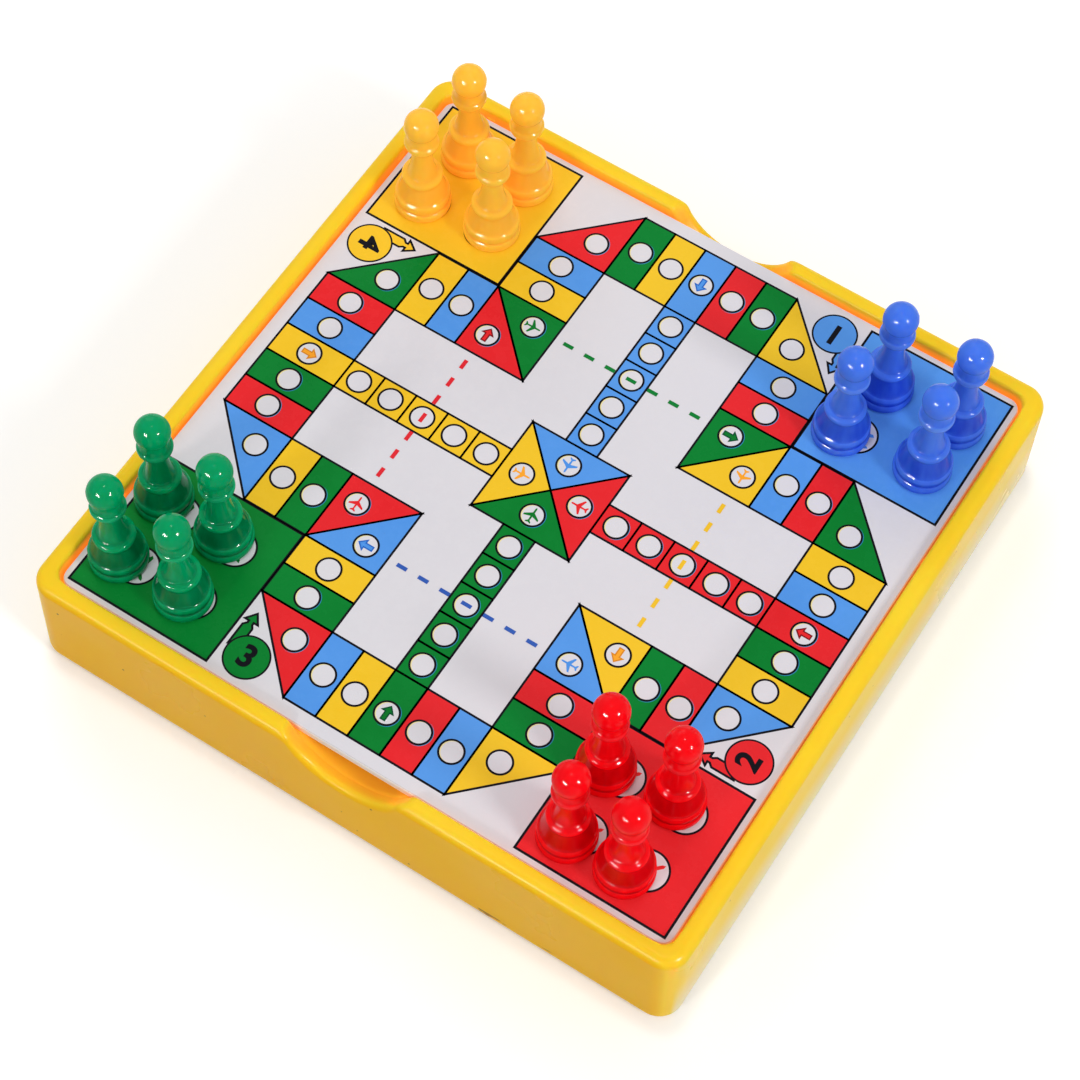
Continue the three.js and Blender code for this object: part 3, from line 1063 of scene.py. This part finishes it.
pawn_shades = {
    "red": ((186, 0, 8), (250, 8, 20), (255, 60, 70), (1.0, 0.12, 0.14), 0.9, 0.03),
    "green": ((0, 96, 54), (0, 158, 98), (40, 190, 136), (0.25, 1.0, 0.55), 0.9, 0.0),
    "blue": ((22, 62, 202), (74, 124, 238), (124, 168, 252), (0.2, 0.5, 1.0), 0.9, 0.0),
    "yellow": ((255, 176, 54), (255, 190, 60), (255, 198, 72), (1.0, 0.5, 0.12), 1.8, 0.12),
}
pawn_plastics = {colour: pawn_plastic(colour, *row) for colour, row in pawn_shades.items()}
print("pawn plastics:", list(pawn_plastics))

# %% [markdown]
# ## One pawn
# A pawn looks turned on a lathe: a two-step foot, a sloping bell, a saucer-like flange, a slim neck, a
# collar and a round head. It starts as a disc, and is drawn up ring by ring: extrude, then scale. The
# faint seam where the two halves of the mould met is two opposite columns of corners, moved out a hair.
# The outline lists radius, height and how much each corner is rounded, in squares, and the painted
# lightness there: deeper for the painted shade of the bell, lighter for the painted glow of thin rims.

# %% Pawn outline
pawn_corners = [
    (0.78, 0.0, 0.0, 0.1), (0.8175, 0.06, 0.05, 0.2), (0.8175, 0.265, 0.07, 0.35),
    (0.752, 0.322, 0.02, 0), (0.79, 0.40, 0.05, 0.1), (0.79, 0.59, 0.08, 0.35),
    (0.70, 0.665, 0.04, 0.1), (0.64, 0.86, 0.12, 0.08), (0.545, 1.2, 0.06, 0.1),
    (0.585, 1.3, 0.03, 0.3), (0.585, 1.4, 0.08, 0.6), (0.52, 1.46, 0.05, 0.45),
    (0.42, 1.50, 0.05, 0.3), (0.325, 1.86, 0.2, 0.35), (0.27, 2.42, 0.12, 0.4),
    (0.33, 2.58, 0.08, 0.4), (0.435, 2.66, 0.04, 0.4), (0.49, 2.78, 0.05, 0.75),
    (0.49, 2.9, 0.05, 0.75), (0.425, 2.955, 0.02, 0.4), (0.40, 3.04, 0.04, 0.4),
    (0.375, 3.12, 0.04, 0.4),
]
head_radius = 0.49
head_height = 3.55
head_steps = 15
pawn_sides = 48


def rounded_outline(corners, steps=3):
    """Turns the list of corners into rings, with a small curve in place of every corner."""
    rings = [(corners[0][0], corners[0][1], corners[0][3])]
    for before, here, after in zip(corners, corners[1:], corners[2:]):
        corner = Vector(here[:2])
        back = Vector(before[:2]) - corner
        ahead = Vector(after[:2]) - corner
        reach_back = min(here[2], back.length * 0.48)
        reach_ahead = min(here[2], ahead.length * 0.48)
        start = corner + back.normalized() * reach_back
        end = corner + ahead.normalized() * reach_ahead
        for step in range(steps + 1):
            share = step / steps
            point = start * (1 - share) ** 2 + corner * 2 * share * (1 - share) + end * share ** 2
            rings.append((point.x, point.y, here[3]))
    return rings


pawn_rings = rounded_outline(pawn_corners)
last_radius = pawn_corners[-1][0]
first_turn = math.acos(last_radius / head_radius)
for step in range(head_steps):
    turn = -first_turn + (math.pi / 2 + first_turn) * step / head_steps
    pawn_rings.append((head_radius * math.cos(turn), head_height + head_radius * math.sin(turn), 0.5))
print("pawn rings:", len(pawn_rings))

# %% Draw up the pawn
select_nothing()
bpy.ops.mesh.primitive_circle_add(vertices=pawn_sides, radius=pawn_rings[0][0] * SQUARE,
                                  fill_type="NGON", location=(0, 0, 0))
pawn = bpy.context.object
pawn.name = "pawn_form"
open_mesh(pawn)
bpy.ops.mesh.select_all(action="SELECT")
for (radius, height, _), (next_radius, next_height, _) in zip(pawn_rings, pawn_rings[1:]):
    raise_faces((next_height - height) * SQUARE)
    growth = next_radius / radius
    bpy.ops.transform.resize(value=(growth, growth, 1), center_override=(0, 0, 0))
raise_faces((head_height + head_radius - pawn_rings[-1][1]) * SQUARE)
bpy.ops.mesh.merge(type="CENTER")
pick("FACE", lambda face: face.normal.z < -0.99 and face.calc_center_median().z < 0.1 * MM)
standing_ring = 1.0 * MM
hollow_side = 0.4 * MM
hollow_depth = 0.5 * MM
bpy.ops.mesh.inset(thickness=standing_ring)
bpy.ops.mesh.inset(thickness=hollow_side)
bpy.ops.transform.translate(value=(0, 0, hollow_depth))
pick("VERT", lambda corner: abs(corner.co.y) < 0.01 * MM and abs(corner.co.x) > 0.2 * MM
     and corner.co.z > 0.3 * SQUARE)
seam_growth = 1.012
bpy.ops.transform.resize(value=(seam_growth, 1, 1), center_override=(0, 0, 0))
face_outward()
close_mesh()
painted_lightness = pawn.data.attributes.new("painted_lightness", "FLOAT", "POINT")
for corner in pawn.data.vertices:
    height = corner.co.z / SQUARE
    near = min(pawn_rings, key=lambda ring: abs(ring[1] - height))
    painted_lightness.data[corner.index].value = near[2]
work_on(pawn)
bpy.ops.object.shade_smooth_by_angle(angle=math.radians(50))
print("pawn faces:", len(pawn.data.polygons))

# %% Stand the pawns on the board
stood_pawns = []
for colour in ("green", "red", "blue", "yellow"):
    for number in range(1, 5):
        node = f"pawn_{colour}_{number}"
        low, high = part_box(node)
        work_on(pawn)
        bpy.ops.object.duplicate()
        copy = bpy.context.object
        copy.name = f"{node}_form"
        copy.location = ((low.x + high.x) / 2, (low.y + high.y) / 2, low.z)
        copy.rotation_euler.z = math.radians(37 * number)
        bpy.ops.object.transform_apply(location=True, rotation=True)
        copy.data.materials.append(pawn_plastics[colour])
        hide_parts(node)
        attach(copy, f"{node}_body")
        stood_pawns.append(copy)
bpy.data.objects.remove(pawn)
print("pawns on the board:", len(stood_pawns))


# %% [markdown]
# ## The die
# The die waits in its nest under the board. It is a cube with well rounded edges; the pips are round
# hollows cut with small balls, and the cutter's own material paints them.

# %% Die
def die_plastic():
    material, tree, shader = new_material("die_white_plastic")
    clouds = spread(object_noise(tree, 150), 0.35, 0.65, 0, 1)
    feed(shader, "Base Color", blend_colours(clouds, srgb(236, 233, 226), srgb(243, 241, 236)))
    set_values(shader, {"Roughness": 0.22, "Subsurface Weight": 0.3, "Subsurface Scale": 1.0 * MM})
    uneven_skin(shader, 500, 0.02, 0.3)
    return material


def pip_paint():
    material, tree, shader = new_material("pip_paint")
    clouds = spread(object_noise(tree, 900), 0.35, 0.65, 0, 1)
    feed(shader, "Base Color", blend_colours(clouds, srgb(20, 20, 24), srgb(36, 36, 42)))
    feed(shader, "Roughness", spread(clouds, 0, 1, 0.35, 0.5))
    return material


die_size = die_high.z - die_low.z
die = new_block("die_form", (die_size, die_size, die_size), die_centre)
open_mesh(die)
pick("EDGE", lambda edge: True)
round_edges(1.3 * MM, 5)
close_mesh()
pip_black = pip_paint()
die.data.materials.append(die_plastic())
die.data.materials.append(pip_black)

pip_spacing = 0.26 * die_size
pip_layouts = {
    1: [(0, 0)], 2: [(-1, -1), (1, 1)], 3: [(-1, -1), (0, 0), (1, 1)],
    4: [(-1, -1), (-1, 1), (1, -1), (1, 1)], 5: [(-1, -1), (-1, 1), (0, 0), (1, -1), (1, 1)],
    6: [(-1, -1), (-1, 0), (-1, 1), (1, -1), (1, 0), (1, 1)],
}
die_sides = {1: (0, 0, 1), 6: (0, 0, -1), 2: (0, -1, 0), 5: (0, 1, 0), 3: (1, 0, 0), 4: (-1, 0, 0)}
pip_radius = 0.95 * MM
pip_depth = 0.5 * MM
ball_radius = (pip_radius ** 2 + pip_depth ** 2) / (2 * pip_depth)
cutters = []
for count, direction in die_sides.items():
    toward = Vector(direction)
    first = Vector((toward.y, toward.z, toward.x))
    second = toward.cross(first)
    for across, up in pip_layouts[count]:
        place = die_centre + toward * (die_size / 2 + ball_radius - pip_depth)
        place += (first * across + second * up) * pip_spacing
        select_nothing()
        bpy.ops.mesh.primitive_uv_sphere_add(segments=20, ring_count=12, radius=ball_radius,
                                             location=place)
        bpy.ops.object.transform_apply(location=True)
        cutters.append(bpy.context.object)
pip_cutter = join_into(cutters[0], cutters[1:])
pip_cutter.data.materials.append(None)
pip_cutter.data.materials.append(pip_black)
for face in pip_cutter.data.polygons:
    face.material_index = 1
work_on(die)
cut = die.modifiers.new("pips", "BOOLEAN")
cut.operation = "DIFFERENCE"
cut.solver = "EXACT"
cut.object = pip_cutter
bpy.ops.object.modifier_apply(modifier=cut.name)
bpy.data.objects.remove(pip_cutter)
even_shading(die, 30)
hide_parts("die")
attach(die, "die_body")
print("die faces:", len(die.data.polygons))

# %% [markdown]
# ## Where the gleams shine
# The flat label would throw the gleams back as one wide glare when it is looked at from behind. Light
# linking keeps them to the rounded glossy pieces, where they draw the small highlights they are for.
# From the front the tray's rim gets a thin one, and the pawns a taller one that their feet catch too.

# %% Light linking
def shine_on(name, lamp, pieces):
    """Lets a lamp reach only these pieces."""
    receivers = bpy.data.collections.new(name)
    for piece in pieces:
        receivers.objects.link(piece)
    lamp.light_linking.receiver_collection = receivers


shine_on("rounded_pieces", right_gleam, [tray, die, *stood_pawns])
shine_on("rim_pieces", rim_gleam, [tray])
shine_on("standing_pieces", pawn_gleam, [die, *stood_pawns])

# %% [markdown]
# ## Sizes and finish
# The box of the dressed model is printed at the end. The dressed model has to stay inside the box
# of the CAD model.

# %% Write the sizes and finish
bpy.context.view_layer.update()
low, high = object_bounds()
print("visual box in metres:", tuple(low), tuple(high))
